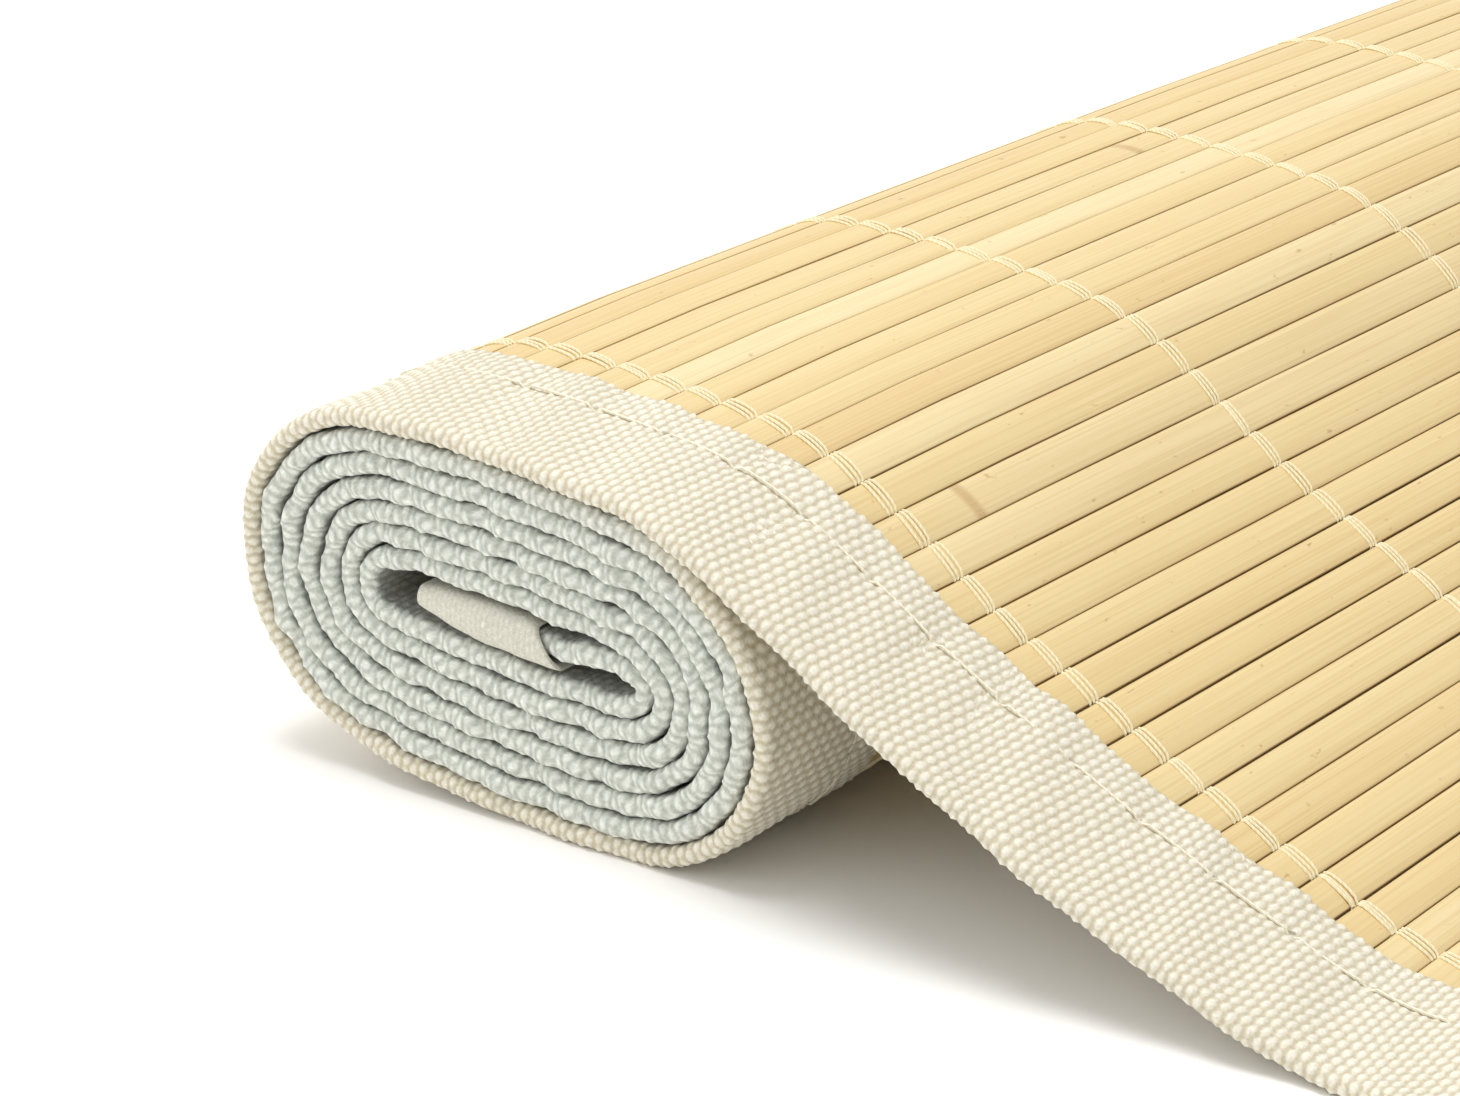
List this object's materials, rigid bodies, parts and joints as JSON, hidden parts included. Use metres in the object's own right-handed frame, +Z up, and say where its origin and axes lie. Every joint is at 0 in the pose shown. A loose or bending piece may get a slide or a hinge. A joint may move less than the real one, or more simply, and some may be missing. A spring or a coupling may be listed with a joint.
{
  "type": "bamboo mat",
  "caption": "Long bamboo slat mat with cloth-bound edges, wound into an oval roll at one end and lying flat at the other.",
  "frame": {"origin": "on the surface the mat lies on, under the middle of the mat's box", "axes": "+Y along the slats, away from the viewer; +X from the roll towards the loose flat end; +Z up"},
  "size_m": [0.2532, 0.3018, 0.0484],
  "materials": {
    "bamboo_slats": "planed bamboo with a low natural sheen",
    "cotton_tape": "matt plain-woven cotton tape",
    "cotton_thread": "matt cotton thread"
  },
  "bodies": {
    "root": {"slat_panel": "bamboo_slats", "binding_tape_near": "cotton_tape", "binding_tape_far": "cotton_tape"}
  },
  "joints": []
}
